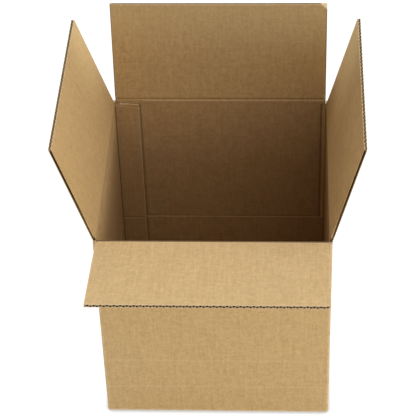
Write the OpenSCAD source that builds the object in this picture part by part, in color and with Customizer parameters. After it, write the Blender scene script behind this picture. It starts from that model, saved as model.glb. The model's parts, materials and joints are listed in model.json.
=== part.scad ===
// Open shipping carton: a slotted box of single-wall corrugated board, taped shut
// below, with four hinged top flaps standing open.
// Origin: middle of the underside. X runs left to right, Y front to back, Z up.

/* [Inside of the box] */
// Inside length, left to right
inner_l = 305; // [200:1:500]
// Inside width, front to back
inner_w = 305; // [200:1:500]
// Inside height, from the floor to the closed flaps
inner_h = 305; // [200:1:500]

/* [Corrugated board] */
// Thickness of the board
board_t = 4; // [3.4:0.1:6]
// Thickness of each flat liner
liner_t = 0.5; // [0.3:0.05:0.7]
// Thickness of the wavy middle sheet
wave_t = 0.4; // [0.2:0.05:0.6]
// Length of one wave
wave_pitch = 8.2; // [6.5:0.1:10]

/* [Top flaps] */
// Gap left between the front and back flaps when they are closed
major_gap = 4; // [0.5:0.5:10]
// Gap left between the two side flaps when they are closed
minor_gap = 0.6; // [0.4:0.2:10]
// How far the front and back flaps stop short of the box's corners
major_inset = 5; // [4.5:0.5:8]
// How far the side flaps stop short of the box's corners at their fold
minor_inset = 6.5; // [5:0.5:12]
// How much further each end of a side flap steps in by its free edge
minor_taper = 4.5; // [0:0.5:12]
// Air between the two layers of closed flaps
layer_gap = 0.3; // [0.2:0.1:1]
// How far the front flap leans out from upright, in degrees
front_lean = 80; // [0:0.5:140]
// How far the back flap leans out from upright, in degrees
back_lean = 6.5; // [0:0.5:140]
// How far the left flap leans out from upright, in degrees
left_lean = 17.5; // [0:0.5:140]
// How far the right flap leans out from upright, in degrees
right_lean = 15; // [0:0.5:140]

/* [Folds] */
// Radius of the pressed bead that a top flap turns on
bead_r = 1; // [0.6:0.1:1.3]
// Air between the bead and the flap's root
fold_clear = 0.15; // [0.1:0.05:0.3]
// Farthest that a top flap folds back from upright, in degrees
open_limit = 150; // [145:1:155]
// Length of the crushed strip at each flap's root
crushed_len = 9; // [6:0.5:12]
// Thickness that the board is crushed to at a flap's fold
crushed_t = 2.2; // [2:0.1:3.4]
// Outer radius of a folded corner
corner_r = 3; // [1.5:0.5:4]
// Leg of the soft bevel inside the back right corner
bevel_leg = 7; // [3:0.5:12]
// Air between a flap's end and the corner of the walls beside it
slot_clear = 0.5; // [0.3:0.1:1]

/* [Score lines round the walls] */
// Height between one score line and the next, counted from the ground
score_step = 50.8; // [30:0.1:60]
// Width of a score line
score_w = 2.4; // [1:0.1:4]
// Depth of a score line on the inside
score_deep = 0.5; // [0.2:0.05:1]
// Depth of a score line on the outside
score_faint = 0.15; // [0.05:0.05:0.4]

/* [Glued corner tab] */
// Width of the glued tab on the back wall
tab_w = 35; // [20:1:60]
// Slope of the tab's cut ends over its width
tab_slope = 5; // [0:0.5:15]
// Strip of the glued corner that the back wall leaves bare
joint_gap = 1.5; // [0.5:0.5:4]

/* [Crushed corner of the back flap] */
// Leg of the crushed corner
dent_leg = 9; // [4:0.5:20]

/* [Bottom tape] */
// Width of the tape over the bottom seam
tape_w = 48; // [24:1:75]
// Thickness of the tape
tape_t = 0.12; // [0.1:0.02:0.3]
// How far the tape laps up each side wall
tape_lap = 60; // [30:1:90]

/* [Hidden] */

score_count = 2;
half_l = inner_l / 2 + board_t;
half_w = inner_w / 2 + board_t;
floor_top = 2 * board_t;
ceiling = floor_top + inner_h;

// A flap turns on its bead, which lies just inside the wall's outer face. inner_off and outer_off
// are the bead centre's distances from the board's two faces.
outer_off = bead_r;
inner_off = board_t - bead_r;
fold_half = (180 - open_limit) / 2;
inner_ease = fold_clear * sqrt(2);
outer_ease = fold_clear / sin(fold_half);
outer_rise = outer_off / tan(fold_half) + outer_ease;
bead_sides = 24;
seat_r = bead_r + fold_clear;
crush_off = max(crushed_t - outer_off, seat_r);
minor_axis_z = ceiling + inner_off;
major_axis_z = ceiling + board_t + layer_gap + inner_off;
ring_top = minor_axis_z - outer_rise;
corner_top = major_axis_z - inner_off;
foot_share = 0.375;  // height of the walls' foot over the ground, as a share of the board's thickness
ring_foot = board_t * foot_share;
major_reach = half_w - outer_off - major_gap / 2;
minor_reach = half_l - outer_off - minor_gap / 2;
major_half = half_l - major_inset;
minor_half = half_w - minor_inset;
root_len = max(crushed_len, outer_rise + 1);
bed = 1;  // depth to which added pieces of the sheet run into their neighbour
far = 2;  // overrun of a cutting shape

kraft = [0.76, 0.60, 0.40];
kraft_inside = [0.70, 0.54, 0.35];
tape_clear = [0.82, 0.72, 0.55, 0.6];

function arc(cx, cy, r, from, to, steps = 4) =
    [for (i = [0:steps]) let (a = from + (to - from) * i / steps) [cx + r * cos(a), cy + r * sin(a)]];

// Outline of the four walls. The left wall turns in behind the back wall's cut end, where its tab is glued.
wall_outline = concat(
    arc(-half_l + corner_r, -half_w + corner_r, corner_r, 180, 270),
    arc(half_l - corner_r, -half_w + corner_r, corner_r, 270, 360),
    arc(half_l - corner_r, half_w - corner_r, corner_r, 0, 90),
    [[-half_l + joint_gap, half_w], [-half_l + joint_gap, half_w - board_t]],
    arc(-half_l + corner_r, half_w - board_t - corner_r, corner_r, 90, 180));

module score_prism(length, depth) {
    rotate([90, 0, 0])
        linear_extrude(height = length, center = true)
            polygon([[-depth, 0], [far, score_w / 2 * (1 + far / depth)], [far, -score_w / 2 * (1 + far / depth)]]);
}

// Score lines pressed into one wall, which faces +X at distance x from the middle
module wall_scores(x, length) {
    for (i = [1:score_count]) {
        translate([x, 0, i * score_step]) score_prism(length, score_faint);
        translate([x - board_t, 0, i * score_step]) rotate([0, 180, 0]) score_prism(length - 2 * board_t, score_deep);
    }
}

module walls() {
    translate([0, 0, ring_foot])
        linear_extrude(height = ring_top - ring_foot)
            difference() {
                polygon(wall_outline);
                square([inner_l, inner_w], center = true);
            }
}

// The walls' four corners stand between the flaps' ends, up to the folds
module wall_corners() {
    translate([0, 0, ring_top - bed])
        linear_extrude(height = corner_top - ring_top + bed)
            difference() {
                polygon(wall_outline);
                square([2 * (major_half + slot_clear), 2 * half_w + far], center = true);
                square([2 * half_l + far, 2 * (minor_half + slot_clear)], center = true);
            }
}

// Fold at the top of one wall, facing +X with its bead along Y through the origin
module wall_top(length, height) {
    rotate([90, 0, 0])
        linear_extrude(height = length, center = true) {
            polygon([[-inner_off, -height], [-inner_off, -(inner_off + inner_ease)], [0, -inner_ease],
                     [0, -outer_ease], [outer_off, -outer_rise], [outer_off, -height]]);
            circle(r = bead_r, $fn = bead_sides);
        }
}

// Rounds the outer bottom edge of a wall that faces +X at distance x from the middle
module foot_round(x, z, length) {
    translate([x - corner_r, 0, z + corner_r])
        rotate([90, 0, 0])
            linear_extrude(height = length, center = true)
                polygon(concat([[far + corner_r, 0]], arc(0, 0, corner_r, 0, -90),
                               [[0, -corner_r - far], [corner_r + far, -corner_r - far]]));
}

// One of the two outer bottom flaps, folded in from the front
module outer_bottom_flap() {
    translate([-major_half, 0, 0])
        rotate([90, 0, 90])
            linear_extrude(height = 2 * major_half)
                polygon(concat(arc(-half_w + corner_r, corner_r, corner_r, 270, 180),
                               [[-half_w, board_t], [-major_gap / 2, board_t], [-major_gap / 2, 0]]));
}

// One of the two inner bottom flaps, folded in from the right
module inner_bottom_flap() {
    translate([0, 0, board_t])
        linear_extrude(height = board_t)
            polygon([[half_l - bed, -minor_half], [half_l - bed, minor_half],
                     [minor_gap / 2, minor_half - minor_taper], [minor_gap / 2, -minor_half + minor_taper]]);
}

// The tab stands between the inner bottom flaps and the closed side flaps, clear of both
module glue_tab() {
    foot = floor_top + layer_gap;
    head = ceiling - layer_gap;
    translate([-half_l + board_t - bed, half_w - board_t, 0])
        rotate([90, 0, 0])
            linear_extrude(height = board_t)
                polygon([[0, foot], [bed, foot], [bed + tab_w, foot + tab_slope],
                         [bed + tab_w, head - tab_slope], [bed, head], [0, head]]);
}

// Soft bevel of the back right corner, above the upper score line
module corner_bevel() {
    corner = [inner_l / 2, inner_w / 2];
    foot = score_count * score_step;
    translate([corner.x, corner.y, foot])
        linear_extrude(height = ring_top - foot)
            polygon([[-bevel_leg, 0], [0, -bevel_leg], [bed, -bevel_leg], [bed, bed], [-bevel_leg, bed]]);
}

module carton_body() {
    color(kraft)
        difference() {
            union() {
                walls();
                wall_corners();
                for (side = [0, 180]) rotate([0, 0, side]) {
                    outer_bottom_flap();
                    inner_bottom_flap();
                    translate([half_l - outer_off, 0, minor_axis_z])
                        wall_top(2 * minor_half, outer_rise + bed);
                    rotate([0, 0, 90])
                        translate([half_w - outer_off, 0, major_axis_z])
                            wall_top(2 * major_half, major_axis_z - ring_top + bed);
                }
                glue_tab();
                corner_bevel();
            }
            for (side = [0, 180]) rotate([0, 0, side]) {
                foot_round(half_l, ring_foot, 2 * half_w + far);
                wall_scores(half_l, 2 * (half_w - board_t));
                rotate([0, 0, 90]) wall_scores(half_w, 2 * (half_l - corner_r));
            }
            translate([0, 0, -far])
                linear_extrude(height = far + tape_t)
                    square([2 * major_half + far, tape_w], center = true);
        }
}

// Section of the board across its waves: two liners and the wavy sheet between them, with a wave
// cut open at each end. x runs across the board, y from the inner face to the outer face.
module board_section(width) {
    waves = round(width / wave_pitch);
    pitch = width / waves;
    core = board_t / 2 - liner_t;
    swing = core - wave_t / 2;
    parts = 6;
    translate([0, board_t / 2 - inner_off])
        difference() {
            square([width, board_t], center = true);
            for (i = [0:waves - 1], up = [1, -1])
                translate([(i - waves / 2 + (up + 1) / 4) * pitch, 0])
                    scale([1, up])
                        polygon(concat([[pitch * (1 - 0.5 / parts), core], [pitch * 0.5 / parts, core]],
                                       [for (k = [1:parts - 1])
                                           [k * pitch / parts, swing * cos(360 * k / parts) + wave_t / 2]]));
        }
}

// A top flap standing upright, hinged along Y through the origin, with its outer face towards +X.
// The board is crushed along the fold and thickens from there to where its waves start, which run
// to the free edge.
module flap(half, reach, taper) {
    intersection() {
        union() {
            translate([0, 0, root_len - bed])
                linear_extrude(height = reach - root_len + bed)
                    rotate(-90) board_section(2 * half);
            difference() {
                rotate([90, 0, 0])
                    linear_extrude(height = 2 * half, center = true)
                        polygon([[-inner_off, root_len], [-inner_off, root_len - bed],
                                 [-crush_off, crush_off + inner_ease], [0, inner_ease], [0, outer_ease],
                                 [outer_off, outer_rise], [outer_off, root_len]]);
                rotate([90, 0, 0])
                    linear_extrude(height = 2 * half + far, center = true)
                        circle(r = seat_r, $fn = bead_sides);
            }
        }
        rotate([90, 0, 90])
            linear_extrude(height = 4 * board_t, center = true)
                polygon([[-half, 0], [half, 0], [half - taper, reach], [taper - half, reach]]);
    }
}

module front_flap() {
    color(kraft)
        translate([0, -half_w + outer_off, major_axis_z])
            rotate([front_lean, 0, 0])
                rotate([0, 0, -90]) flap(major_half, major_reach, 0);
}

// The back flap has its upper right corner crushed: there its waves are shut and its face slopes back
module back_flap() {
    color(kraft_inside)
        translate([0, half_w - outer_off, major_axis_z])
            rotate([-back_lean, 0, 0])
                difference() {
                    union() {
                        rotate([0, 0, 90]) flap(major_half, major_reach, 0);
                        translate([major_half, -inner_off, major_reach])
                            rotate([-90, 0, 0])
                                linear_extrude(height = board_t)
                                    polygon([[0, 0], [0, dent_leg], [-dent_leg, 0]]);
                    }
                    translate([major_half, outer_off, major_reach]) rotate([0, 45, 0]) dent_cut();
                }
}

// Wedge that slopes from the corner's outer edge to the far side of its crushed patch
module dent_cut() {
    depth = dent_leg / sqrt(2);
    rotate([0, 0, 90])
        rotate([90, 0, 0])
            linear_extrude(height = 4 * dent_leg, center = true)
                polygon([[0, 0], [-board_t - far, -depth * (1 + far / board_t)], [-board_t - far, far], [0, far]]);
}

module left_flap() {
    color(kraft)
        translate([-half_l + outer_off, 0, minor_axis_z])
            rotate([0, -left_lean, 0])
                rotate([0, 0, 180]) flap(minor_half, minor_reach, minor_taper);
}

module right_flap() {
    color(kraft_inside)
        translate([half_l - outer_off, 0, minor_axis_z])
            rotate([0, right_lean, 0])
                flap(minor_half, minor_reach, minor_taper);
}

// One strip of tape: under the bottom seam, across the open slot and up both side walls
module bottom_tape() {
    bend = ring_foot + corner_r;
    side = concat([[major_half, 0]], arc(half_l - corner_r, bend, corner_r + tape_t, -90, 0),
                  [[half_l + tape_t, tape_lap], [half_l, tape_lap]],
                  arc(half_l - corner_r, bend, corner_r, 0, -90), [[major_half, tape_t]]);
    color(tape_clear)
        rotate([90, 0, 0])
            linear_extrude(height = tape_w, center = true)
                polygon(concat(side, [for (i = [len(side) - 1:-1:0]) [-side[i].x, side[i].y]]));
}

carton_body();
front_flap();
back_flap();
left_flap();
right_flap();
bottom_tape();
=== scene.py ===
import json
import math
import bpy
import bmesh
from mathutils import Matrix, Vector, noise


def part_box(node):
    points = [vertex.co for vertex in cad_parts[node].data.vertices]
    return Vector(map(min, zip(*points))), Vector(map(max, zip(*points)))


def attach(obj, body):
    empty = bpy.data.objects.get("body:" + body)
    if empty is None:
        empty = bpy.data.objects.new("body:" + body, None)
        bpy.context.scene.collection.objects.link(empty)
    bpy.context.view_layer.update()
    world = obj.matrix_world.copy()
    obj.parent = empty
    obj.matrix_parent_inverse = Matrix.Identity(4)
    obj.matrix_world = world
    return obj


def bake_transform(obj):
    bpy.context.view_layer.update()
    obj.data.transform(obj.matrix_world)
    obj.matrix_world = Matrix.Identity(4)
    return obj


# An open corrugated carton: paper finishes, creased liners over the folds, and a soft studio round it
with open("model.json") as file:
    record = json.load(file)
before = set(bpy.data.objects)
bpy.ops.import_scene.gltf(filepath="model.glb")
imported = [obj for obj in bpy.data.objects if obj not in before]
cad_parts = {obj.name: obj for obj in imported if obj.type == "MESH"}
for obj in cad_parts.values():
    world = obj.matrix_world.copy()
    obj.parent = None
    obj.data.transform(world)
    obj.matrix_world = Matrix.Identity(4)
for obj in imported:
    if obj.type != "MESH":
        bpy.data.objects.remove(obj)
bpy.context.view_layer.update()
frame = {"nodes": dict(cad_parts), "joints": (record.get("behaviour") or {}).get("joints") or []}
nodes = frame["nodes"]
joints = {joint["child"]: joint for joint in frame["joints"]}
mm = 0.001
up = Vector((0, 0, 1))

# What the board is made to, in metres and degrees
board = {
    "thick": 4 * mm,
    "liner": 0.5 * mm,
    "outerOff": 1 * mm,       # from a fold's axis to the board's outer face
    "innerOff": 3 * mm,       # from a fold's axis to the board's inner face
    "wavePitch": 8.2 * mm,
    "openLimit": 150,         # how far a flap folds back from upright
    "scoreStep": 50.8 * mm,
}


# Where a flap turns, and its own axes: x along the fold, y out through the board, z away from the fold
def foldFrame(flapName):
    joint = joints[flapName]
    axis = Vector(joint["axis"])
    pivot = Vector(joint["pos_m"])
    lean = math.radians(board["openLimit"] - joint["range_deg"][1])
    outward = axis.cross(up)
    wallAxes = Matrix((-axis, outward, up)).transposed()
    flapAxes = Matrix.Rotation(lean, 3, axis) @ wallAxes
    local = [flapAxes.transposed() @ (vertex.co - pivot) for vertex in nodes[flapName].data.vertices]
    return {
        "pivot": pivot, "lean": lean, "wall": wallAxes, "flap": flapAxes,
        "half": max(point.x for point in local),
        "reach": max(point.z for point in local),
    }


folds = {name: foldFrame(name) for name in ("front_flap", "back_flap", "left_flap", "right_flap")}
print("frame loaded:", len(nodes), "nodes,", len(folds), "folds")


# Materials

# Feeds one input of a node, from another node's output or with a plain value
def feed(tree, node, name, value):
    if isinstance(value, bpy.types.NodeSocket):
        tree.links.new(value, node.inputs[name])
    else:
        node.inputs[name].default_value = value


def addNode(tree, kind, settings=None, inputs=None):
    node = tree.nodes.new("ShaderNode" + kind)
    for name, value in (settings or {}).items():
        setattr(node, name, value)
    for name, value in (inputs or {}).items():
        feed(tree, node, name, value)
    return node


def calc(tree, operation, *values, clamp=False):
    settings = {"operation": operation, "use_clamp": clamp}
    return addNode(tree, "Math", settings, dict(enumerate(values))).outputs[0]


def times(tree, first, second):
    return calc(tree, "MULTIPLY", first, second)


def larger(tree, first, second):
    return calc(tree, "MAXIMUM", first, second)


def oneMinus(tree, value):
    return calc(tree, "SUBTRACT", 1.0, value)


def eitherWay(tree, value):
    return calc(tree, "ABSOLUTE", value)


# 0 below low and 1 above high, with a soft step between
def step(tree, value, low, high):
    settings = {"interpolation_type": "SMOOTHSTEP"}
    node = addNode(tree, "MapRange", settings, {"Value": value, "From Min": low, "From Max": high})
    return node.outputs["Result"]


# 1 inside a band of the given half width round centre, fading to 0 over soft
def band(tree, value, centre, half, soft):
    away = eitherWay(tree, calc(tree, "SUBTRACT", value, centre))
    return oneMinus(tree, step(tree, away, half, half + soft))


def mixColour(tree, factor, under, over):
    return addNode(tree, "Mix", {"data_type": "RGBA"}, {0: factor, 6: under, 7: over}).outputs[2]


def mixValue(tree, factor, under, over):
    return addNode(tree, "Mix", None, {0: factor, 2: under, 3: over}).outputs[0]


def noiseMask(tree, vector, scale, detail, roughness):
    node = addNode(tree, "TexNoise", None, {
        "Vector": vector, "Scale": scale, "Detail": detail, "Roughness": roughness})
    return node.outputs[0]


def stretch(tree, vector, scale):
    return addNode(tree, "Mapping", None, {"Vector": vector, "Scale": scale}).outputs[0]


def splitVector(tree, vector):
    node = addNode(tree, "SeparateXYZ", None, {"Vector": vector})
    return [node.outputs[name] for name in "XYZ"]


# How far a vector points the given way
def towards(tree, vector, way):
    node = addNode(tree, "VectorMath", {"operation": "DOT_PRODUCT"}, {0: vector, 1: way})
    return node.outputs["Value"]


def newGroup(name, inputs, outputs):
    tree = bpy.data.node_groups.new(name, "ShaderNodeTree")
    for socketName, kind in inputs:
        tree.interface.new_socket(socketName, in_out="INPUT", socket_type=kind)
    for socketName, kind in outputs:
        tree.interface.new_socket(socketName, in_out="OUTPUT", socket_type=kind)
    return tree, tree.nodes.new("NodeGroupInput"), tree.nodes.new("NodeGroupOutput")


def useGroup(tree, group, inputs):
    return addNode(tree, "Group", {"node_tree": group}, inputs)


# The layers of the pulp, each with its scale along x, y and z, its noise's detail and roughness, and its
# share of the tone
paper = {
    "layers": {
        "streak": ((340, 340, 30), 3.0, 0.6, 0.58),     # thin lines along the waves
        "cross": ((40, 40, 360), 3.0, 0.6, 0.36),       # and fainter ones across them
        "blotch": ((125, 125, 125), 4.0, 0.6, 0.62),
        "grain": ((330, 330, 330), 5.0, 0.7, 1.05),
    },
    "fleckNoise": (1300, 1.0, 0.5),
    "fleckFrom": (0.66, 0.74),
    "fleck": 0.20,
    "wave": 0.008,            # how much the waves under the liner show in the tone
    "waveHeight": 0.5,        # and in the relief, beside the streaks
    "streakHeight": 0.4,
}


# Kraft liner: mottled pulp, streaks along and across the waves, dark flecks and the waves' faint ridges
def makePaperGroup():
    tree, given, result = newGroup(
        "kraftPaper",
        [("Vector", "NodeSocketVector"), ("Across", "NodeSocketFloat"), ("Seed", "NodeSocketFloat")],
        [("Tone", "NodeSocketFloat"), ("Height", "NodeSocketFloat")])
    shift = addNode(tree, "CombineXYZ", None, {name: given.outputs["Seed"] for name in "XYZ"}).outputs[0]
    moved = addNode(tree, "VectorMath", {"operation": "ADD"}, {0: given.outputs["Vector"], 1: shift})
    place = moved.outputs[0]
    layers = {}
    tone = 0.5
    for name, (scale, detail, roughness, share) in paper["layers"].items():
        layers[name] = noiseMask(tree, stretch(tree, place, scale), 1.0, detail, roughness)
        tone = calc(tree, "MULTIPLY_ADD", calc(tree, "SUBTRACT", layers[name], 0.5), share, tone)
    fleck = step(tree, noiseMask(tree, place, *paper["fleckNoise"]), *paper["fleckFrom"])
    wave = calc(tree, "SINE", times(tree, given.outputs["Across"], 2 * math.pi / board["wavePitch"]))
    tone = calc(tree, "MULTIPLY_ADD", wave, paper["wave"], tone)
    tone = calc(tree, "MULTIPLY_ADD", fleck, -paper["fleck"], tone, clamp=True)
    fibres = calc(tree, "ADD", layers["grain"], times(tree, layers["streak"], paper["streakHeight"]))
    feed(tree, result, "Tone", tone)
    feed(tree, result, "Height", calc(tree, "MULTIPLY_ADD", wave, paper["waveHeight"], fibres))
    return tree


wear = {
    "coarse": (120.0, 3.0, 0.6),    # scale, detail and roughness
    "coarseShare": 0.9,
    "fine": (900.0, 2.0, 0.6),
    "fineShare": 0.45,
    "breaks": (0.45, 0.85),         # where the paper begins to wear, and where it is worn through
}


# Rubbed paper: breaks a soft mask up with coarse and fine noise, as handling wears a fold or an edge
def makeWearGroup():
    tree, given, result = newGroup(
        "rubbedPaper",
        [("Vector", "NodeSocketVector"), ("Mask", "NodeSocketFloat")],
        [("Wear", "NodeSocketFloat")])
    coarse = noiseMask(tree, given.outputs["Vector"], *wear["coarse"])
    fine = noiseMask(tree, given.outputs["Vector"], *wear["fine"])
    broken = calc(tree, "MULTIPLY_ADD", fine, wear["fineShare"], times(tree, coarse, wear["coarseShare"]))
    feed(tree, result, "Wear", times(tree, given.outputs["Mask"], step(tree, broken, *wear["breaks"])))
    return tree


paperGroup = makePaperGroup()
wearGroup = makeWearGroup()

# Linear colours of each paper, at its darkest and its lightest pulp
papers = {
    "outer": ((0.455, 0.288, 0.118, 1), (0.735, 0.520, 0.255, 1)),
    "inner": ((0.450, 0.280, 0.112, 1), (0.740, 0.500, 0.236, 1)),
    "back": ((0.418, 0.258, 0.103, 1), (0.688, 0.462, 0.217, 1)),       # the back flap's inner paper, darker: painted shade
    "front": ((0.545, 0.360, 0.158, 1), (0.850, 0.605, 0.320, 1)),      # the front flap's, lighter: painted light
    "wall": ((0.320, 0.194, 0.082, 1), (0.570, 0.372, 0.178, 1)),       # the walls' inner paper, darker low down: painted shade
    "paintedLight": ((0.79, 0.565, 0.275, 1), (0.98, 0.740, 0.380, 1)),        # inner paper painted lighter where more light falls: painted light
}
flapPapers = {"front_flap": "front", "back_flap": "back", "left_flap": "inner", "right_flap": "inner"}

# Linear colours of cut and worn board, of painted shade and light on it, and its finish
kraft = {
    "hole": (0.020, 0.007, 0.003, 1),       # painted shade deep inside the waves
    "wave": (0.84, 0.63, 0.36, 1),          # the wavy sheet by its cut end, lighter with painted light on its slopes
    "cutWave": (0.80, 0.60, 0.35, 1),       # and the cut end itself
    "sideWave": (0.11, 0.068, 0.030, 1),    # painted shade in a wave cut open along the flap's side, and along the back flap's sides
    "warm": (0.46, 0.245, 0.115, 1),        # redder pulp in the walls' inner paper
    # worn paper, whose colour also paints highlights on the walls' score lines, the tab's edge and the
    # folds
    "rubbedAndHighlight": (0.80, 0.61, 0.37, 1),
    "torn": (0.90, 0.71, 0.44, 1),          # the crushed corner's open board
    "fluff": (0.96, 0.84, 0.64, 1),         # bare fibre along a tear
    "shade": (0.10, 0.055, 0.025, 1),       # painted shade in the corners, over score lines and along the folds
    "roughness": 0.86,
    "specular": 0.12,
    "bump": 0.25,
    "bumpDepth": 0.12 * mm,
}


def startMaterial(name):
    material = bpy.data.materials.new(name)
    material.use_nodes = True
    tree = material.node_tree
    tree.nodes.clear()
    shader = addNode(tree, "BsdfPrincipled", None, {
        "Roughness": kraft["roughness"], "Specular IOR Level": kraft["specular"]})
    addNode(tree, "OutputMaterial", None, {"Surface": shader.outputs[0]})
    return material, tree, shader


def finishBoard(tree, shader, colour, height):
    bump = addNode(tree, "Bump", None, {
        "Strength": kraft["bump"], "Distance": kraft["bumpDepth"], "Height": height})
    feed(tree, shader, "Base Color", colour)
    feed(tree, shader, "Normal", bump.outputs[0])


def objectPlace(tree):
    return addNode(tree, "TexCoord").outputs["Object"]


def paperPlace(tree):
    return addNode(tree, "UVMap", {"uv_map": "paper"}).outputs[0]


def pulpColour(tree, pulp, name):
    return mixColour(tree, pulp.outputs["Tone"], *papers[name])


# Where painted light lies on a flap's inner paper: how strongly, towards which end of the fold, and over
# which distances along the flap from its middle and away from its fold. The back flap's spans its whole
# length.
paintedLightPatches = {
    "back_flap": {"share": 0.26, "end": 1, "along": (-300 * mm, -200 * mm), "away": (60 * mm, 155 * mm)},
    "left_flap": {"share": 0.52, "end": 1, "along": (40 * mm, 135 * mm), "away": (5 * mm, 95 * mm)},
    "right_flap": {"share": 0.95, "end": -1, "along": (10 * mm, 120 * mm), "away": (0.0, 80 * mm)},
}

# Marks on a flap. A pair of lengths is counted in from its free edge or its sides, and the mark grows from
# the first to the second.
flapMarks = {
    "faceSoft": 1 * mm,
    "edgeRub": (3 * mm, 0.0),
    "sideRub": (2.5 * mm, 0.0),
    "rub": 0.6,
    "lip": (2.2 * mm, 0.8 * mm),
    "lipShare": 0.30,
    "beside": (6 * mm, 3 * mm),     # at the flap's sides the open waves are narrower and softer
    "coreSoft": 0.1 * mm,
    "sideNarrow": 0.6 * mm,
    "sideSoft": 0.4 * mm,
    "crest": (0.35, 0.85),          # how near its crests the wavy sheet takes painted shade
    "mouth": (5 * mm, 1.5 * mm),
    "square": (0.6, 0.8),           # how squarely a cut face looks out
    "rim": (1.8 * mm, 0.8 * mm),    # painted shade along the back flap's sides
    "rimShare": 0.4,
    "tear": (8.6 * mm, 7.6 * mm),   # and its torn corner
}


# Grows towards an end, over the two lengths of a mark
def nearEnd(tree, value, end, mark):
    first, second = flapMarks[mark]
    return step(tree, value, end - first, end - second)


# The wavy sheet between the liners: painted shade in the holes between slopes with painted light at the
# free edge, and painted shade at the sides
def waveColour(tree, fold, along, away, beside, normal):
    outOfEdge = towards(tree, normal, fold["flap"].col[2])
    outOfSide = eitherWay(tree, towards(tree, normal, fold["flap"].col[0]))
    waves = round(2 * fold["half"] / board["wavePitch"])
    turn = calc(tree, "COSINE", times(tree, along, math.pi * waves / fold["half"]))
    slope = oneMinus(tree, step(tree, eitherWay(tree, turn), *flapMarks["crest"]))
    mouth = nearEnd(tree, away, fold["reach"], "mouth")
    deep = mixColour(tree, beside, kraft["hole"], kraft["sideWave"])
    inside = mixColour(tree, times(tree, slope, mouth), deep, kraft["wave"])
    inside = mixColour(tree, step(tree, outOfEdge, *flapMarks["square"]), inside, kraft["cutWave"])
    return mixColour(tree, step(tree, outOfSide, *flapMarks["square"]), inside, kraft["sideWave"])


# The inner paper of a flap, with painted light where more light falls on it
def flapInside(tree, flapName, pulp, along, away):
    colour = pulpColour(tree, pulp, flapPapers[flapName])
    if flapName not in paintedLightPatches:
        return colour
    fade = paintedLightPatches[flapName]
    paintedLight = times(tree, step(tree, times(tree, along, fade["end"]), *fade["along"]),
                  step(tree, away, *fade["away"]))
    return mixColour(tree, times(tree, paintedLight, fade["share"]), colour, pulpColour(tree, pulp, "paintedLight"))


# A flap's finish, in the flap's own axes
def flapMaterial(flapName, seed):
    fold = folds[flapName]
    half, reach = fold["half"], fold["reach"]
    material, tree, shader = startMaterial(flapName + "_board")
    source = addNode(tree, "TexCoord")
    place = addNode(tree, "Mapping", {"vector_type": "TEXTURE"}, {
        "Vector": source.outputs["Object"], "Location": fold["pivot"],
        "Rotation": fold["flap"].to_euler()}).outputs[0]
    along, through, away = splitVector(tree, place)
    fromMiddle = eitherWay(tree, along)
    pulp = useGroup(tree, paperGroup, {"Vector": place, "Across": along, "Seed": seed})
    innerFace = flapInside(tree, flapName, pulp, along, away)
    outerSide = step(tree, through, -flapMarks["faceSoft"], 0.0)
    colour = mixColour(tree, outerSide, innerFace, pulpColour(tree, pulp, "outer"))

    rub = nearEnd(tree, away, reach, "edgeRub")
    if flapName != "back_flap":
        rub = larger(tree, rub, nearEnd(tree, fromMiddle, half, "sideRub"))
    rub = times(tree, rub, flapMarks["rub"])
    worn = useGroup(tree, wearGroup, {"Vector": place, "Mask": rub})
    colour = mixColour(tree, worn.outputs["Wear"], colour, kraft["rubbedAndHighlight"])
    lip = times(tree, nearEnd(tree, away, reach, "lip"), flapMarks["lipShare"])
    colour = mixColour(tree, lip, colour, kraft["rubbedAndHighlight"])

    middle = (board["outerOff"] - board["innerOff"]) / 2
    coreHalf = board["thick"] / 2 - board["liner"]
    beside = nearEnd(tree, fromMiddle, half, "beside")
    core = mixValue(
        tree, beside, band(tree, through, middle, coreHalf, flapMarks["coreSoft"]),
        band(tree, through, middle, coreHalf - flapMarks["sideNarrow"], flapMarks["sideSoft"]))
    inside = waveColour(tree, fold, along, away, beside, source.outputs["Normal"])
    colour = mixColour(tree, core, colour, inside)
    if flapName == "back_flap":
        # painted shade along the back flap's sides
        rim = times(tree, nearEnd(tree, fromMiddle, half, "rim"), flapMarks["rimShare"])
        colour = mixColour(tree, rim, colour, kraft["sideWave"])
        tear = nearEnd(tree, calc(tree, "ADD", along, away), half + reach, "tear")
        colour = mixColour(tree, tear, colour, kraft["torn"])
    finishBoard(tree, shader, colour, pulp.outputs["Height"])
    return material


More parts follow.
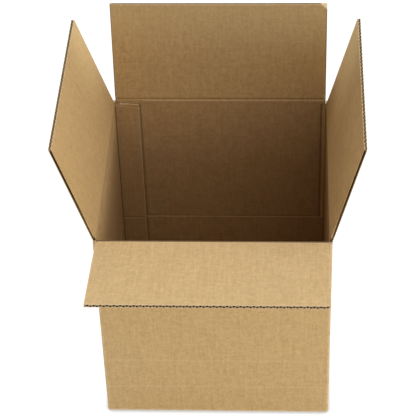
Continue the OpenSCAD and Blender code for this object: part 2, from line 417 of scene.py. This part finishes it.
# Marks on the walls. Heights are counted from the floor, and a line has a half width and a soft edge.
wallMarks = {
    "flat": (0.6, 0.8),                     # how level a face is to count as bottom board
    "wallIn": 152.5 * mm,                   # the walls' inner faces
    "lift": (180 * mm, 330 * mm),           # painted light: the inner paper gets paler between these heights
    "liftShare": 0.4,
    "leftLift": 0.5,                        # and the left wall's painted light more so
    # painted light on the left wall, high up
    "pale": (240 * mm, 330 * mm),
    "paleShare": 0.4,
    "warmNoise": (34.0, 4.0, 0.7),
    "warmFrom": (0.50, 0.68),
    "warmShare": 0.5,
    "faceSoft": 1 * mm,
    "under": (2 * mm, 3 * mm),
    "tabEdge": -117.5 * mm,                 # the glued tab's free edge and its front face
    "tabFront": 148.5 * mm,
    "tabCutFrom": (146 * mm, 147 * mm),     # a painted highlight on the cut edge between its faces
    "tabCutTo": (149.5 * mm, 150.5 * mm),
    "tabLight": (0.7 * mm, 0.5 * mm),
    "tabShadeAt": 1.5 * mm,                 # and painted shade on the wall beside it
    "tabShade": (1.1 * mm, 1.0 * mm),
    "tabShadeShare": 0.65,
    "behindTab": (151 * mm, 152 * mm),
    "scoreLightAt": 1.3 * mm,               # a painted highlight on the lip under each score line
    "scoreLight": (0.4 * mm, 0.8 * mm),
    "scoreLightShare": 0.85,
    "scoreShadeAt": 1.1 * mm,               # and a painted shade line above it
    "scoreShade": (0.4 * mm, 0.9 * mm),
    "scoreShadeShare": 0.60,
    "outerScore": (1.2 * mm, 1 * mm),
    "outerScoreShare": 0.12,
    "cornerLine": (0.6 * mm, 1.3 * mm),     # painted shade where the left wall meets the tab
    "cornerReach": (2 * mm, 1 * mm),
    "bevelEdge": 145.5 * mm,                # where the soft bevel meets the walls, with painted shade along those edges
    "bevelFrom": (99 * mm, 101 * mm),
    "bevelLine": (0.7 * mm, 1.6 * mm),
    "tabTopLevel": (0.5, 0.8),              # painted shade on the tab's cut top, behind its front liner
    "tabTopBehind": (148 * mm, 148.4 * mm),
    "tabTopHigh": (300 * mm, 305 * mm),
    "tabTopShare": 0.3,
    # painted shade over the right wall's inner face
    "rightShade": 0.25,
    "shadeShare": 0.6,
    "lightShare": 0.45,
    "cornerRub": (5 * mm, 1 * mm),          # how far in from the outer faces the corners are rubbed
    "cornerWear": 0.6,
    "foot": (1 * mm, 6 * mm),
    "cutLevel": (0.7, 0.9),                 # the walls' cut tops
    "cutHigh": (314 * mm, 316 * mm),
    "cutShare": 0.5,
}


# Painted highlights on the walls' inner faces: along the tab's cut edge and on the lower lip of each score
# line
def wallLight(tree, x, y, z):
    onTab = times(tree, step(tree, y, *wallMarks["tabCutFrom"]),
                  oneMinus(tree, step(tree, y, *wallMarks["tabCutTo"])))
    light = times(tree, band(tree, x, wallMarks["tabEdge"], *wallMarks["tabLight"]), onTab)
    for count in (1, 2):
        height = count * board["scoreStep"] - wallMarks["scoreLightAt"]
        lip = times(tree, band(tree, z, height, *wallMarks["scoreLight"]), wallMarks["scoreLightShare"])
        light = larger(tree, light, lip)
    return times(tree, light, wallMarks["lightShare"])


# Painted shade on them: beside the tab, over each score line, where walls meet, on the tab's cut top, and
# over the right wall
def wallShade(tree, x, y, z, upward):
    wallIn, bevelEdge = wallMarks["wallIn"], wallMarks["bevelEdge"]
    tabSide = band(tree, x, wallMarks["tabEdge"] + wallMarks["tabShadeAt"], *wallMarks["tabShade"])
    tabSide = times(tree, tabSide, step(tree, y, *wallMarks["behindTab"]))
    shade = times(tree, tabSide, wallMarks["tabShadeShare"])
    for count in (1, 2):
        height = count * board["scoreStep"] + wallMarks["scoreShadeAt"]
        line = times(tree, band(tree, z, height, *wallMarks["scoreShade"]), wallMarks["scoreShadeShare"])
        shade = larger(tree, shade, line)
    corner = times(tree, band(tree, x, -wallIn, *wallMarks["cornerLine"]),
                   band(tree, y, wallMarks["tabFront"], *wallMarks["cornerReach"]))
    shade = larger(tree, shade, corner)
    bevelled = step(tree, z, *wallMarks["bevelFrom"])
    plain = oneMinus(tree, bevelled)
    corners = ((bevelEdge, wallIn, bevelled), (wallIn, bevelEdge, bevelled), (wallIn, wallIn, plain))
    for atX, atY, where in corners:
        line = times(tree, band(tree, x, atX, *wallMarks["bevelLine"]),
                     band(tree, y, atY, *wallMarks["bevelLine"]))
        shade = larger(tree, shade, times(tree, line, where))
    atTop = times(tree, step(tree, y, *wallMarks["tabTopBehind"]), step(tree, z, *wallMarks["tabTopHigh"]))
    tabTopCut = times(tree, step(tree, upward, *wallMarks["tabTopLevel"]), atTop)
    shade = larger(tree, shade, times(tree, tabTopCut, wallMarks["tabTopShare"]))
    rightWall = times(tree, step(tree, x, wallIn - wallMarks["faceSoft"], wallIn), wallMarks["rightShade"])
    return larger(tree, times(tree, shade, wallMarks["shadeShare"]), rightWall)


# The walls' inner paper, with painted shade low down and painted light towards their tops, the left wall's
# more so, and patches of redder pulp
def wallInside(tree, pulp, place, x, z):
    leftIn = -wallMarks["wallIn"]
    leftWall = oneMinus(tree, step(tree, x, leftIn, leftIn + wallMarks["faceSoft"]))
    share = calc(tree, "MULTIPLY_ADD", leftWall, wallMarks["leftLift"], wallMarks["liftShare"])
    lift = times(tree, step(tree, z, *wallMarks["lift"]), share)
    colour = mixColour(tree, lift, pulpColour(tree, pulp, "wall"), pulpColour(tree, pulp, "inner"))
    pale = times(tree, leftWall, step(tree, z, *wallMarks["pale"]))
    pale = times(tree, pale, wallMarks["paleShare"])
    colour = mixColour(tree, pale, colour, pulpColour(tree, pulp, "paintedLight"))
    warm = step(tree, noiseMask(tree, place, *wallMarks["warmNoise"]), *wallMarks["warmFrom"])
    return mixColour(tree, times(tree, warm, wallMarks["warmShare"]), colour, kraft["warm"])


# The walls' outer paper, a little rubbed along the score lines
def wallOutside(tree, pulp, z):
    colour = pulpColour(tree, pulp, "outer")
    for count in (1, 2):
        line = band(tree, z, count * board["scoreStep"], *wallMarks["outerScore"])
        colour = mixColour(tree, times(tree, line, wallMarks["outerScoreShare"]), colour, kraft["rubbedAndHighlight"])
    return colour


# The walls and the bottom. The waves stand upright in the walls and lie along the bottom flaps.
def bodyMaterial(seed):
    material, tree, shader = startMaterial("carton_board")
    source = addNode(tree, "TexCoord")
    place = source.outputs["Object"]
    x, y, z = splitVector(tree, place)
    upward = splitVector(tree, source.outputs["Normal"])[2]
    flat = step(tree, eitherWay(tree, upward), *wallMarks["flat"])
    across = calc(tree, "ADD", x, times(tree, y, oneMinus(tree, flat)))
    pulp = useGroup(tree, paperGroup, {"Vector": place, "Across": across, "Seed": seed})

    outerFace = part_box("carton_body")[1].x
    wallMid = outerFace - board["thick"] / 2
    asideX, asideY = eitherWay(tree, x), eitherWay(tree, y)
    outX, outY = (step(tree, aside, wallMid, wallMid + wallMarks["faceSoft"]) for aside in (asideX, asideY))
    under = oneMinus(tree, step(tree, z, *wallMarks["under"]))
    outside = larger(tree, larger(tree, outX, outY), under)
    inner = wallInside(tree, pulp, place, x, z)
    inner = mixColour(tree, wallShade(tree, x, y, z, upward), inner, kraft["shade"])
    inner = mixColour(tree, wallLight(tree, x, y, z), inner, kraft["rubbedAndHighlight"])
    colour = mixColour(tree, outside, inner, wallOutside(tree, pulp, z))

    first, second = wallMarks["cornerRub"]
    rub = step(tree, calc(tree, "MINIMUM", asideX, asideY), outerFace - first, outerFace - second)
    rub = times(tree, rub, times(tree, outside, wallMarks["cornerWear"]))
    foot = times(tree, oneMinus(tree, step(tree, z, *wallMarks["foot"])), outside)
    worn = useGroup(tree, wearGroup, {"Vector": place, "Mask": larger(tree, rub, foot)})
    colour = mixColour(tree, worn.outputs["Wear"], colour, kraft["rubbedAndHighlight"])
    cutTop = times(tree, step(tree, upward, *wallMarks["cutLevel"]), step(tree, z, *wallMarks["cutHigh"]))
    colour = mixColour(tree, times(tree, cutTop, wallMarks["cutShare"]), colour, kraft["rubbedAndHighlight"])
    finishBoard(tree, shader, colour, pulp.outputs["Height"])
    return material


sideCrease = {
    "press": 0.0, "groove": 0.25 * mm, "grooveAt": 0.5 * mm,
    "from": -3 * mm, "to": 3 * mm, "wallLift": 0.38,
    "light": 0.0, "lightAt": 0.0, "lightHalf": 0.4 * mm, "lightFrom": -200 * mm,
    "shade": 0.0, "shadeAt": 0.0, "shadeHalf": 0.4 * mm,
}

# How the inner liner lies in each fold, with heights counted from the fold, down the wall and up the flap.
# Press is how deep it follows the crushed board, and a groove may run along it. The paper changes from the
# wall's to the flap's between from and to, and wallLift is how pale the wall's is, lifting its painted
# shade.
# The painted highlight starts at lightFrom along the fold, and the painted shade line runs its whole
# length.
creaseShapes = {
    "front_flap": {
        "press": 1.75 * mm, "groove": 0.0, "grooveAt": 0.0,
        "from": -3 * mm, "to": 0.5 * mm, "wallLift": 0.38,
        "light": 0.55, "lightAt": 6.8 * mm, "lightHalf": 0.4 * mm, "lightFrom": -200 * mm,
        "shade": 0.85, "shadeAt": 1.2 * mm, "shadeHalf": 1.6 * mm},
    "back_flap": {
        "press": 0.0, "groove": 1.1 * mm, "grooveAt": 1.5 * mm,
        "from": 0.0, "to": 3 * mm, "wallLift": 0.38,
        "light": 0.62, "lightAt": -0.9 * mm, "lightHalf": 0.2 * mm, "lightFrom": -115 * mm,
        "shade": 0.15, "shadeAt": 2.2 * mm, "shadeHalf": 0.4 * mm},
    "left_flap": dict(sideCrease, wallLift=0.86),
    "right_flap": sideCrease,
}
creaseLines = {"shadeSoft": 0.9 * mm, "lightSoft": 0.6 * mm, "lightRise": 15 * mm}


# Liner paper over a fold, which follows the piece's own UV map because the piece bends. It carries the
# flap's pulp on, with a painted highlight and a painted shade line along the fold.
def creaseMaterial(flapName, seed):
    shape = creaseShapes[flapName]
    material, tree, shader = startMaterial(flapName.replace("flap", "liner"))
    along, away = splitVector(tree, paperPlace(tree))[:2]
    onFlap = addNode(tree, "CombineXYZ", None, {"X": along, "Y": -board["innerOff"], "Z": away}).outputs[0]
    pulp = useGroup(tree, paperGroup, {"Vector": onFlap, "Across": along, "Seed": seed})
    wallSide = mixColour(
        tree, shape["wallLift"], pulpColour(tree, pulp, "wall"), pulpColour(tree, pulp, "inner"))
    flapSide = pulpColour(tree, pulp, flapPapers[flapName])
    colour = mixColour(tree, step(tree, away, shape["from"], shape["to"]), wallSide, flapSide)
    shade = band(tree, away, shape["shadeAt"], shape["shadeHalf"], creaseLines["shadeSoft"])
    colour = mixColour(tree, times(tree, shade, shape["shade"]), colour, kraft["shade"])
    begins = step(tree, along, shape["lightFrom"], shape["lightFrom"] + creaseLines["lightRise"])
    light = band(tree, away, shape["lightAt"], shape["lightHalf"], creaseLines["lightSoft"])
    light = times(tree, light, times(tree, begins, shape["light"]))
    colour = mixColour(tree, light, colour, kraft["rubbedAndHighlight"])
    finishBoard(tree, shader, colour, pulp.outputs["Height"])
    return material


def outerLinerPaper(seed):
    material, tree, shader = startMaterial("outer_liner")
    place = paperPlace(tree)
    along = splitVector(tree, place)[0]
    pulp = useGroup(tree, paperGroup, {"Vector": place, "Across": along, "Seed": seed})
    finishBoard(tree, shader, pulpColour(tree, pulp, "outer"), pulp.outputs["Height"])
    return material


film = {
    "clear": (0.62, 0.43, 0.21, 1),
    "cloudy": (0.74, 0.56, 0.33, 1),
    "roughness": 0.16,
    "coat": 0.6,
    "cloudScale": (60, 500, 60),        # drawn out along the strip
    "cloudNoise": (1.0, 3.0, 0.6),
    "cloud": 0.6,
    "bubbleNoise": (260.0, 2.0, 0.5),
    "bubbleFrom": (0.58, 0.66),
    "bubble": 0.5,
    "bump": 0.15,
    "bumpDepth": 0.1 * mm,
}


# Clear tape: the board shows through it, cloudy where the glue holds air
def tapeMaterial():
    material, tree, shader = startMaterial("packing_tape")
    place = objectPlace(tree)
    cloud = noiseMask(tree, stretch(tree, place, film["cloudScale"]), *film["cloudNoise"])
    bubble = step(tree, noiseMask(tree, place, *film["bubbleNoise"]), *film["bubbleFrom"])
    mask = calc(tree, "MULTIPLY_ADD", bubble, film["bubble"], times(tree, cloud, film["cloud"]), clamp=True)
    bump = addNode(tree, "Bump", None, {
        "Strength": film["bump"], "Distance": film["bumpDepth"], "Height": mask})
    feed(tree, shader, "Base Color", mixColour(tree, mask, film["clear"], film["cloudy"]))
    feed(tree, shader, "Roughness", film["roughness"])
    feed(tree, shader, "Coat Weight", film["coat"])
    feed(tree, shader, "Normal", bump.outputs[0])
    return material


def setMaterial(piece, material):
    piece.data.materials.clear()
    piece.data.materials.append(material)


# A seed moves the pulp's pattern, so that no two boards look alike
seeds = {
    "front_flap": 0.31, "back_flap": 0.62, "left_flap": 0.93, "right_flap": 1.24,
    "carton_body": 1.9, "outer_liner": 2.7,
}
linerMaterials = {}
for name in folds:
    setMaterial(nodes[name], flapMaterial(name, seeds[name]))
    linerMaterials[name] = creaseMaterial(name, seeds[name])
outerLinerMaterial = outerLinerPaper(seeds["outer_liner"])
setMaterial(nodes["carton_body"], bodyMaterial(seeds["carton_body"]))
setMaterial(nodes["bottom_tape"], tapeMaterial())
print("materials made:", len(bpy.data.materials))


# Added pieces

def finishMesh(bm, name, material, smooth=True):
    bmesh.ops.recalc_face_normals(bm, faces=bm.faces)
    mesh = bpy.data.meshes.new(name)
    bm.to_mesh(mesh)
    bm.free()
    for face in mesh.polygons:
        face.use_smooth = smooth
    piece = bpy.data.objects.new(name, mesh)
    bpy.context.scene.collection.objects.link(piece)
    mesh.materials.append(material)
    return piece


def smoothStep(value):
    value = min(max(value, 0.0), 1.0)
    return value * value * (3 - 2 * value)


# The liner that runs over a fold. It sinks into the board at both its ends, and turns with the flap over
# its turn, as high above the fold as below it.
crease = {
    "sheet": 0.12 * mm,
    "proud": 0.10 * mm,
    "sunk": 0.12 * mm,
    "sinkFrom": 0.8,            # the share of its height from which it sinks
    "innerLow": 6.5 * mm,
    "innerHigh": 10 * mm,
    "outerLow": 6.2 * mm,
    "outerHigh": 6.2 * mm,
    "innerTurn": 3.2 * mm,
    "outerTurn": 3.6 * mm,
    "notch": 3.2 * mm,          # where the wall's inner face ends
    "notchEase": 0.6 * mm,
    "crushLow": 1.4 * mm,       # where the flap's crushed strip is deepest, and where it ends
    "crushHigh": 8 * mm,
    "grooveWide": 1.3 * mm,
    "ripple": 0.08 * mm,
    "rippleNoise": (90, 300, 7),    # scale along the fold and up it, and a place in the noise
    "rippleReach": 3 * mm,
    "rippleFade": 2 * mm,
    "endGap": 0.4 * mm,
    "columns": 90,
    "rows": 30,
    "outerDip": 0.3 * mm,       # two shallow dips beside the fold, on the outside
    "dipAt": 2.2 * mm,
    "dipWide": 1.0 * mm,
}


# Distance of the liner from the fold's axis at a height, on the inner or the outer side of the board
def creaseDepth(flapName, inner, z, low, high):
    end = z / high if z > 0 else -z / low
    sinking = smoothStep((end - crease["sinkFrom"]) / (1 - crease["sinkFrom"]))
    rise = crease["proud"] - (crease["proud"] + crease["sunk"]) * sinking
    if not inner:
        pressed = crease["outerDip"] * math.exp(-((abs(z) - crease["dipAt"]) / crease["dipWide"]) ** 2)
        return board["outerOff"] + rise - pressed
    shape = creaseShapes[flapName]
    pressed = shape["groove"] * math.exp(-((z - shape["grooveAt"]) / crease["grooveWide"]) ** 2)
    if z < crease["crushLow"]:
        ramp = (z + crease["notch"]) / (crease["notch"] - crease["notchEase"])
        pressed += shape["press"] * smoothStep(ramp)
    else:
        ramp = (crease["crushHigh"] - z) / (crease["crushHigh"] - crease["crushLow"])
        pressed += shape["press"] * max(ramp, 0.0)
    return board["innerOff"] + rise - pressed


def makeCrease(flapName, inner):
    fold = folds[flapName]
    side, word = (-1, "inner") if inner else (1, "outer")
    low, high, turn = (crease[word + part] for part in ("Low", "High", "Turn"))
    half = fold["half"] - crease["endGap"]
    bm = bmesh.new()
    bmesh.ops.create_grid(bm, x_segments=crease["columns"], y_segments=crease["rows"], size=1)
    uvLayer = bm.loops.layers.uv.new("paper")
    for vertex in bm.verts:
        vertex.co = Vector((vertex.co.x * half, 0, (low + high) * (vertex.co.y + 1) / 2 - low))
    for face in bm.faces:
        for loop in face.loops:
            loop[uvLayer].uv = (loop.vert.co.x, loop.vert.co.z)
    scaleX, scaleZ, layer = crease["rippleNoise"]
    for vertex in bm.verts:
        x, z = vertex.co.x, vertex.co.z
        ripple = crease["ripple"] * noise.noise(Vector((x * scaleX, z * scaleZ, layer * side)))
        fade = 1 - smoothStep((abs(z) - crease["rippleReach"]) / crease["rippleFade"])
        y = side * (creaseDepth(flapName, inner, z, low, high) + ripple * fade)
        angle = fold["lean"] * smoothStep((z + turn) / (2 * turn))
        vertex.co = fold["pivot"] + fold["wall"] @ (Matrix.Rotation(-angle, 3, "X") @ Vector((x, y, z)))
    bmesh.ops.recalc_face_normals(bm, faces=bm.faces)
    outside = (fold["wall"] @ Vector((0, side, 0))).normalized()
    lowest = min(bm.faces, key=lambda face: face.calc_center_median().z)
    if lowest.normal.dot(outside) < 0:
        bmesh.ops.reverse_faces(bm, faces=bm.faces)
    bmesh.ops.solidify(bm, geom=bm.faces, thickness=crease["sheet"])
    name = flapName.replace("flap", word + "_liner")
    piece = finishMesh(bm, name, linerMaterials[flapName] if inner else outerLinerMaterial)
    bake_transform(piece)
    return piece


for name in folds:
    makeCrease(name, True)
    makeCrease(name, False)
print("liners over the folds made")


# The glued tab's rear liner, which stands up past its cut end against the back wall with a ragged tear.
# The tear's ripples each have a size, a scale along the tab and a place in the noise.
tabTop = {
    "left": -151.6 * mm,
    "right": -118.0 * mm,
    "foot": 304 * mm,
    "topLeft": 317.0 * mm,
    "topRight": 313.6 * mm,
    "ragged": 1.0 * mm,
    "ripples": ((0.6, 9, 3.1, 0), (0.4, 29, 0, 5)),
    "tuft": 1.6 * mm,
    "tuftNoise": (46, 7.7, 2),  # scale along the tab, and a place in the noise
    "tuftFrom": 0.18,           # shares of the tab's width, between which most fibre stands out
    "tuftTo": 0.40,
    "tuftRise": 0.04,
    "tuftFall": 0.08,
    "back": 151.9 * mm,
    "lean": 0.6 * mm,
    "bulge": 0.25 * mm,
    "bulgeNoise": (8, 2, 9),    # scale along the tab and up it, and a place in the noise
    "thick": 0.4 * mm,
    "columns": 90,
    "rows": 14,
}

tornPaper = {
    "fibre": (480.0, 4.0, 0.7),     # scale, detail and roughness
    "bare": (0.38, 0.50),           # where the fibre is bare, and where the tear shows at all
    "seen": (0.36, 0.50),
    "lift": 0.5,
    "low": 0.92,                    # the share of the height from which the paper is torn
    "tuftLow": 0.10,                # and how much lower among the tufts
    "tuftFall": 0.1,
    "soft": 0.03,
    "besideTuft": 0.15,             # how much of the tear shows at the left of the tufts
}


# The tab's liner: the wall's own paper, with bare light fibre along its tear
def tornMaterial(seed):
    material, tree, shader = startMaterial("torn_paper")
    across, tall = splitVector(tree, paperPlace(tree))[:2]
    place = objectPlace(tree)
    fibre = noiseMask(tree, place, *tornPaper["fibre"])
    pulp = useGroup(tree, paperGroup, {"Vector": place, "Across": across, "Seed": seed})
    face = mixColour(
        tree, tornPaper["lift"], pulpColour(tree, pulp, "wall"), pulpColour(tree, pulp, "inner"))
    bare = mixColour(tree, step(tree, fibre, *tornPaper["bare"]), kraft["rubbedAndHighlight"], kraft["fluff"])
    begins = step(tree, across, tabTop["tuftFrom"], tabTop["tuftFrom"] + tabTop["tuftRise"])
    ends = step(tree, across, tabTop["tuftTo"], tabTop["tuftTo"] + tornPaper["tuftFall"])
    tufted = times(tree, begins, oneMinus(tree, ends))
    low = calc(tree, "MULTIPLY_ADD", tufted, -tornPaper["tuftLow"], tornPaper["low"])
    torn = step(tree, calc(tree, "SUBTRACT", tall, low), 0.0, tornPaper["soft"])
    shown = calc(tree, "MULTIPLY_ADD", begins, 1 - tornPaper["besideTuft"], tornPaper["besideTuft"])
    torn = times(tree, times(tree, torn, shown), step(tree, fibre, *tornPaper["seen"]))
    finishBoard(tree, shader, mixColour(tree, torn, face, bare), fibre)
    return material


# How much fibre stands out of the tear at a share of the tab's width
def tuftShare(across):
    start = smoothStep((across - tabTop["tuftFrom"]) / tabTop["tuftRise"])
    return start * (1 - smoothStep((across - tabTop["tuftTo"]) / tabTop["tuftFall"]))


# Height of the tear at a share of the tab's width
def tearHeight(across):
    torn = 0.0
    for size, scale, y, z in tabTop["ripples"]:
        torn += size * noise.noise(Vector((across * scale, y, z)))
    scale, y, z = tabTop["tuftNoise"]
    fibre = abs(noise.noise(Vector((across * scale, y, z))))
    slope = tabTop["topLeft"] + (tabTop["topRight"] - tabTop["topLeft"]) * across
    return slope - tabTop["ragged"] * abs(torn) - tuftShare(across) * tabTop["tuft"] * fibre


def makeTabTop():
    bm = bmesh.new()
    bmesh.ops.create_grid(bm, x_segments=tabTop["columns"], y_segments=tabTop["rows"], size=0.5)
    uvLayer = bm.loops.layers.uv.new("paper")
    for face in bm.faces:
        for loop in face.loops:
            loop[uvLayer].uv = (loop.vert.co.x + 0.5, loop.vert.co.y + 0.5)
    scaleX, scaleZ, layer = tabTop["bulgeNoise"]
    for vertex in bm.verts:
        across, tall = vertex.co.x + 0.5, vertex.co.y + 0.5
        bulge = tabTop["bulge"] * noise.noise(Vector((across * scaleX, tall * scaleZ, layer)))
        vertex.co = Vector((
            tabTop["left"] + across * (tabTop["right"] - tabTop["left"]),
            tabTop["back"] - (tabTop["lean"] + bulge) * tall,
            tabTop["foot"] + tall * (tearHeight(across) - tabTop["foot"])))
    bmesh.ops.solidify(bm, geom=bm.faces, thickness=tabTop["thick"])
    piece = finishMesh(bm, "tab_torn_top", tornMaterial(seeds["carton_body"]))
    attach(piece, "carton")
    return piece


makeTabTop()
print("torn tab edge made")


# Studio

studio = {
    # Soft lights on the dome: the way each one lies, how narrow it is and how bright
    "lobes": (
        ((0.00, 0.80, 0.60), 3, 1.62),
        ((0.80, 0.00, 0.60), 3, 0.78),
        ((0.57, -0.57, 0.60), 3, 0.98),
        ((-0.98, 0.00, 0.20), 6, 0.58),
        ((0.98, 0.00, 0.20), 6, 0.25),
    ),
    "lampPower": 5.5,
    "lampSize": 1.6,
    "lampPlace": (-0.2, -2.4, 0.5),
    "aim": (0.0, 0.0, 0.22),
    "floorSize": 8,
    "floorWhite": 0.86,
    "floorGlow": 0.375,     # the lit table, which lights the carton from below
    "glowEdge": (3, 4),     # and where its light ends, from the middle
    "floorSeen": 0.97,      # what the camera sees of it, less where the carton's close shadow is painted in
    "floorShown": 0.20,     # and how much of the light on it
    "shadowReach": 9 * mm,
    "shadowEdge": (0.45, 0.95),
    "shadowDepth": 0.48,
    "shadowSamples": 16,
}


def addLamp(name, power, size, place, aim):
    lamp = bpy.data.lights.new(name, "AREA")
    lamp.energy = power
    lamp.size = size
    lamp.shape = "DISK"
    lampObject = bpy.data.objects.new(name, lamp)
    lampObject.location = place
    lampObject.rotation_euler = (Vector(aim) - Vector(place)).to_track_quat("-Z", "Y").to_euler()
    bpy.context.scene.collection.objects.link(lampObject)


# White for the camera and in glossy reflections, and soft lights for everything else
def makeWorld():
    world = bpy.data.worlds.new("studio")
    world.use_nodes = True
    tree = world.node_tree
    tree.nodes.clear()
    path = addNode(tree, "LightPath")
    seen = larger(tree, path.outputs["Is Camera Ray"], path.outputs["Is Glossy Ray"])
    facing = addNode(tree, "TexCoord").outputs["Generated"]
    light = 0.0
    for way, narrow, bright in studio["lobes"]:
        lobe = larger(tree, towards(tree, facing, Vector(way).normalized()), 0.0)
        light = calc(tree, "MULTIPLY_ADD", calc(tree, "POWER", lobe, narrow), bright, light)
    strength = calc(tree, "MULTIPLY_ADD", light, oneMinus(tree, seen), seen)
    background = addNode(tree, "Background", None, {"Color": (1, 1, 1, 1), "Strength": strength})
    addNode(tree, "OutputWorld", None, {"Surface": background.outputs[0]})
    bpy.context.scene.world = world


# A white floor with the carton's close shadow, partly real and mostly painted in from ambient occlusion
def makeFloor():
    bm = bmesh.new()
    bmesh.ops.create_grid(bm, x_segments=1, y_segments=1, size=studio["floorSize"] / 2)
    material = bpy.data.materials.new("studio_floor")
    material.use_nodes = True
    tree = material.node_tree
    tree.nodes.clear()
    byCamera = addNode(tree, "LightPath").outputs["Is Camera Ray"]
    white = mixValue(tree, byCamera, studio["floorWhite"], studio["floorShown"])
    plain = addNode(tree, "BsdfDiffuse", None, {"Color": white})
    away = addNode(tree, "VectorMath", {"operation": "LENGTH"}, {0: objectPlace(tree)}).outputs["Value"]
    lit = times(tree, oneMinus(tree, step(tree, away, *studio["glowEdge"])), studio["floorGlow"])
    unshaded = addNode(tree, "AmbientOcclusion", {"samples": studio["shadowSamples"]}, {
        "Distance": studio["shadowReach"]}).outputs["AO"]
    closed = oneMinus(tree, step(tree, unshaded, *studio["shadowEdge"]))
    kept = calc(tree, "MULTIPLY_ADD", closed, -studio["shadowDepth"], 1.0)
    seen = times(tree, studio["floorSeen"], kept)
    strength = mixValue(tree, byCamera, lit, seen)
    glow = addNode(tree, "Emission", None, {"Color": (1, 1, 1, 1), "Strength": strength})
    both = addNode(tree, "AddShader", None, {0: plain.outputs[0], 1: glow.outputs[0]})
    addNode(tree, "OutputMaterial", None, {"Surface": both.outputs[0]})
    floor = finishMesh(bm, "studio_floor", material, smooth=False)


makeWorld()
makeFloor()
addLamp("frontLight", studio["lampPower"], studio["lampSize"], studio["lampPlace"], studio["aim"])

camera = {
    "place": (0.0985, -1.7993, 1.7720),
    "yaw": -3.562,       # degrees, turned right of straight back
    "pitch": 40.242,     # degrees, down
    "roll": 2.03,
    "focalPixels": 1688.4,
    "imagePixels": 416,
    "sensor": 36,
    "near": 0.1,
    "far": 30,
}


def makeCamera():
    yaw, pitch, roll = (math.radians(camera[name]) for name in ("yaw", "pitch", "roll"))
    level = math.cos(pitch)
    forward = Vector((math.sin(yaw) * level, math.cos(yaw) * level, -math.sin(pitch)))
    right = Vector((math.cos(yaw), -math.sin(yaw), 0))
    down = forward.cross(right)
    imageRight = right * math.cos(roll) + down * math.sin(roll)
    imageDown = down * math.cos(roll) - right * math.sin(roll)
    data = bpy.data.cameras.new("camera")
    data.sensor_width = camera["sensor"]
    data.lens = camera["focalPixels"] * camera["sensor"] / camera["imagePixels"]
    data.clip_start = camera["near"]
    data.clip_end = camera["far"]
    eye = bpy.data.objects.new("camera", data)
    turn = Matrix((imageRight, -imageDown, -forward)).transposed()
    eye.matrix_world = Matrix.Translation(camera["place"]) @ turn.to_4x4()
    bpy.context.scene.collection.objects.link(eye)
    bpy.context.scene.camera = eye


makeCamera()
bpy.context.scene.view_settings.view_transform = "Standard"
print("studio made")
